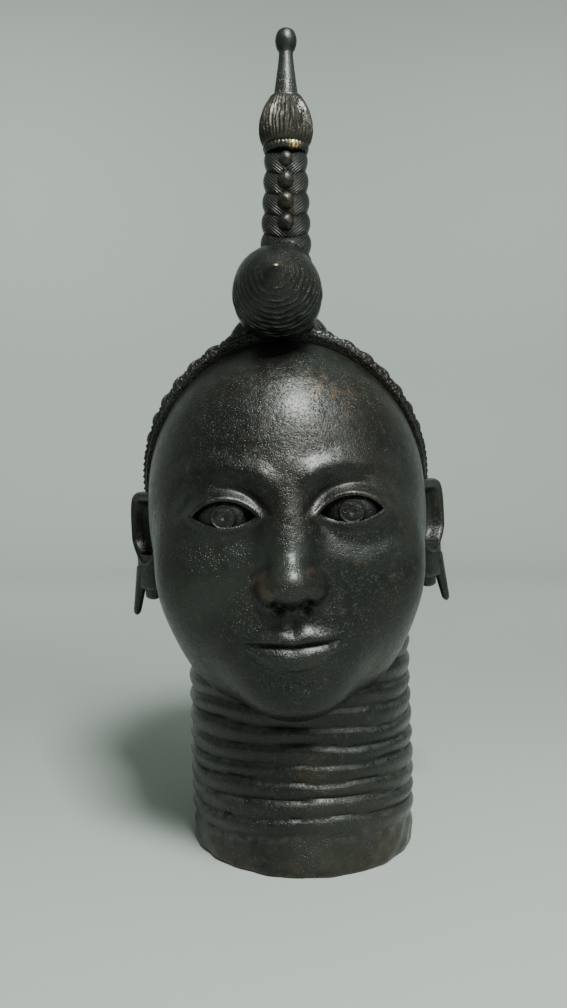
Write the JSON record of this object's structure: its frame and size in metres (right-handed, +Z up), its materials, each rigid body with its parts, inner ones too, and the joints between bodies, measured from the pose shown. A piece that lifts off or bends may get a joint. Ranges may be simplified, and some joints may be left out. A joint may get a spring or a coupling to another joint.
{
  "type": "cast bronze head with crest",
  "caption": "Hollow cast bronze head on a ringed neck, with a knobbed cap, a pointed boss and a tall plaited crest; stands on the open rim of its neck.",
  "frame": {"origin": "on the standing plane, below the middle of the bounding box", "axes": "+Z up along the neck and crest, the face looks along -Y, +X is the figure's own left"},
  "size_m": [0.1536, 0.1648, 0.35],
  "materials": {
    "bronze": "cast bronze with a dark green-black satin patina, rubbed warm brown on the high points"
  },
  "bodies": {
    "root": {"bronze_head": "bronze"}
  },
  "joints": []
}
